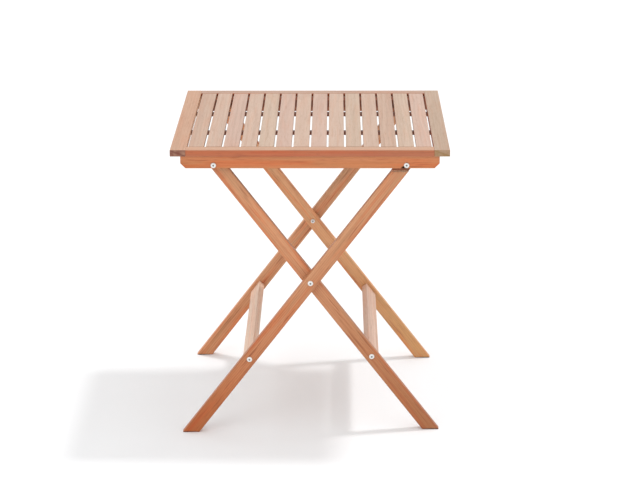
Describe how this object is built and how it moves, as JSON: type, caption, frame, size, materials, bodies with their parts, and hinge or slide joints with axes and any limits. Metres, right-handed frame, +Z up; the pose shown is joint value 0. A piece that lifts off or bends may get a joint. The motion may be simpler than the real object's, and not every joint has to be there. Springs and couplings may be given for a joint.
{
  "type": "folding slatted wooden garden table",
  "caption": "Square folding garden table with a slatted top on two crossing pairs of wooden legs, hooked open over bolts along one edge.",
  "frame": {"origin": "on the floor, under the middle of the top", "axes": "+Z up, +X towards the hooked edge of the top, -Y towards the front"},
  "size_m": [0.66, 0.642, 0.723],
  "materials": {
    "top_wood": "pale oiled hardwood, fine grain",
    "end_wood": "oiled hardwood, darker boards",
    "apron_wood": "oiled hardwood, orange-brown",
    "leg_wood": "oiled hardwood, straight grain along the legs",
    "dowel_wood": "plain beech dowel",
    "zinc": "zinc-plated, satin"
  },
  "bodies": {
    "outer_frame": {"outer_leg_front": "leg_wood", "outer_leg_back": "leg_wood", "outer_stretcher": "leg_wood", "outer_stretcher_bolts": "zinc", "outer_barrel_nuts": "zinc", "hook_bolts": "zinc", "hook_nuts": "zinc", "crossing_bolts": "zinc", "crossing_washers": "zinc", "crossing_nuts": "zinc"},
    "inner_frame": {"inner_leg_front": "leg_wood", "inner_leg_back": "leg_wood", "inner_stretcher": "leg_wood", "inner_stretcher_bolts": "zinc", "inner_barrel_nuts": "zinc"},
    "table_top": {"end_board_left": "end_wood", "end_board_right": "end_wood", "front_rail": "end_wood", "back_rail": "end_wood", "slat_01": "top_wood", "slat_02": "top_wood", "slat_03": "top_wood", "slat_04": "top_wood", "slat_05": "top_wood", "slat_06": "top_wood", "slat_07": "top_wood", "slat_08": "top_wood", "slat_09": "top_wood", "slat_10": "top_wood", "slat_11": "top_wood", "slat_12": "top_wood", "slat_13": "top_wood", "slat_14": "top_wood", "batten_front": "apron_wood", "batten_rear": "apron_wood", "apron_front": "apron_wood", "apron_back": "apron_wood", "corner_dowels": "dowel_wood", "slat_screws": "zinc", "batten_end_screws": "zinc", "apron_screws": "zinc", "pivot_bolts": "zinc", "pivot_spacers": "zinc", "pivot_nuts": "zinc"}
  },
  "joints": [
    {"name": "leg_fold", "type": "hinge", "parent": "outer_frame", "child": "inner_frame", "pos_m": [0, 0, 0.385], "axis": [0, 1, 0], "range_deg": [0, 68]},
    {"name": "top_tilt", "type": "hinge", "parent": "inner_frame", "child": "table_top", "pos_m": [-0.2283, 0, 0.6827], "axis": [0, -1, 0], "range_deg": [0, 126]}
  ],
  "couplings": [
    {"joint": "top_tilt", "follows": "leg_fold", "ratio": 1.85}
  ]
}
